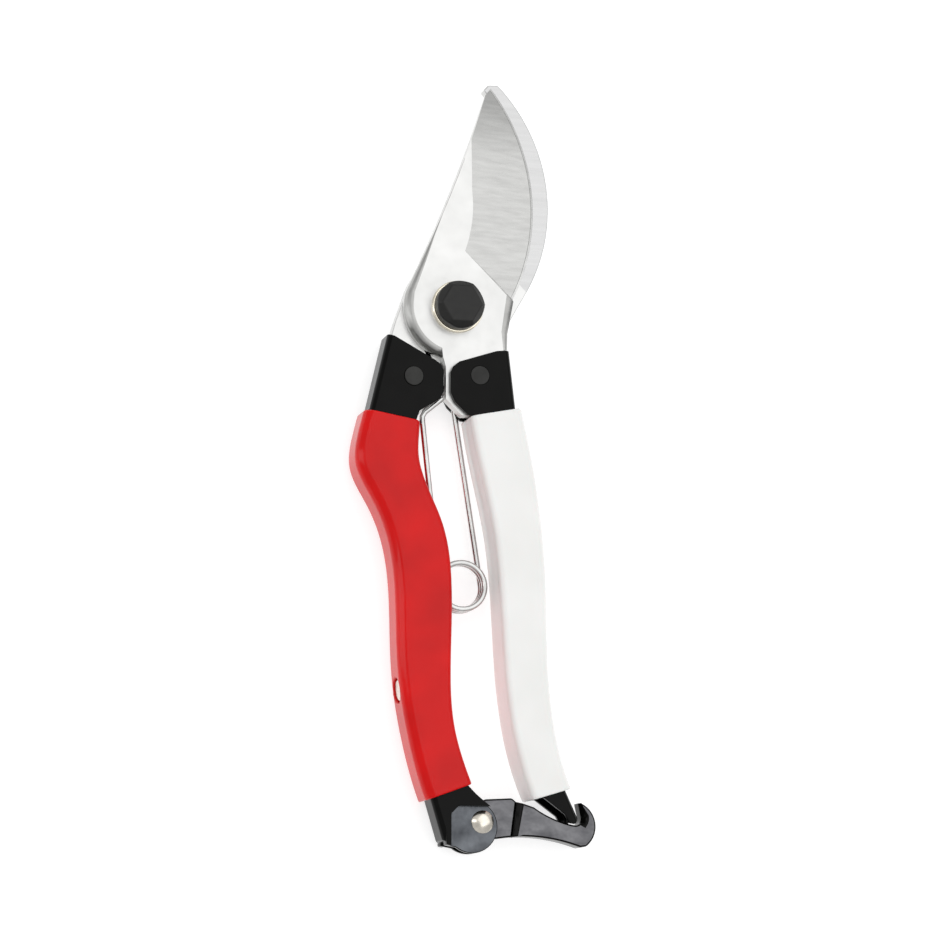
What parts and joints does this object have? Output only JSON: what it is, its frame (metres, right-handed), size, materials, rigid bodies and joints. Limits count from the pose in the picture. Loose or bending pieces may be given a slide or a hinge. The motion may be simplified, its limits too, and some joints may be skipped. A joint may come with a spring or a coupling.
{
  "type": "bypass pruner",
  "caption": "Bypass pruner with a curved blade passing a hooked counter blade, dipped grips, torsion spring and thumb latch.",
  "frame": {"origin": "on the pivot axis, at the end face of the pivot bolt and nut, which is the plane the closed tool lies on", "axes": "+Y towards the tip of the blades, +Z along the pivot axis out of the bolt head, +X towards the handle that carries the blade"},
  "size_m": [0.0641, 0.2028, 0.015],
  "materials": {
    "plated_steel": "satin plated forged steel, ground bright on the blade's bevel",
    "black_steel": "blackened steel, satin",
    "zinc_washer": "pale yellow zinc",
    "spring_steel": "bright",
    "bare_steel": "plain",
    "black_enamel": "gloss",
    "red_vinyl": "glossy dipped vinyl",
    "white_vinyl": "glossy dipped vinyl",
    "nickel_rivet": "satin nickel",
    "latch_black": "satin, rubbed",
    "spring_wire": "bright"
  },
  "bodies": {
    "red_handle": {"counter_blade": "plated_steel", "pivot_bolt": "black_steel", "pivot_washer": "zinc_washer", "lock_washer": "spring_steel", "pivot_nut": "black_steel", "red_handle_channel": "black_enamel", "hook_rivet_upper": "black_enamel", "hook_rivet_lower": "bare_steel", "red_grip": "red_vinyl", "red_grip_rivet": "nickel_rivet", "latch_rivet": "nickel_rivet", "latch_washer": "spring_steel"},
    "white_handle": {"cutting_blade": "plated_steel", "white_handle_channel": "black_enamel", "blade_rivet_upper": "black_enamel", "blade_rivet_lower": "bare_steel", "white_grip": "white_vinyl", "white_grip_rivet": "nickel_rivet"},
    "latch": {"latch": "latch_black"},
    "spring_red_arm": {"spring_red_arm": "spring_wire"},
    "spring_white_arm": {"spring_white_arm": "spring_wire"}
  },
  "joints": [
    {"name": "handle_pivot", "type": "hinge", "parent": "red_handle", "child": "white_handle", "pos_m": [0, 0, 0.0062], "axis": [0, 0, 1], "range_deg": [0, 28]},
    {"name": "latch_pivot", "type": "hinge", "parent": "red_handle", "child": "latch", "pos_m": [0.0069, -0.1332, 0.0062], "axis": [0, 0, 1], "range_deg": [-85, 0]},
    {"name": "spring_red_eye", "type": "hinge", "parent": "red_handle", "child": "spring_red_arm", "pos_m": [-0.0089, -0.0301, 0.0062], "axis": [0, 0, 1], "range_deg": [0, 14.15]},
    {"name": "spring_coil", "type": "hinge", "parent": "spring_red_arm", "child": "spring_white_arm", "pos_m": [0.0017, -0.0728, 0.0062], "axis": [0, 0, 1], "range_deg": [-19.61, 0]}
  ],
  "couplings": [
    {"joint": "spring_red_eye", "follows": "handle_pivot", "ratio": 0.505},
    {"joint": "spring_coil", "follows": "handle_pivot", "ratio": -0.7}
  ]
}
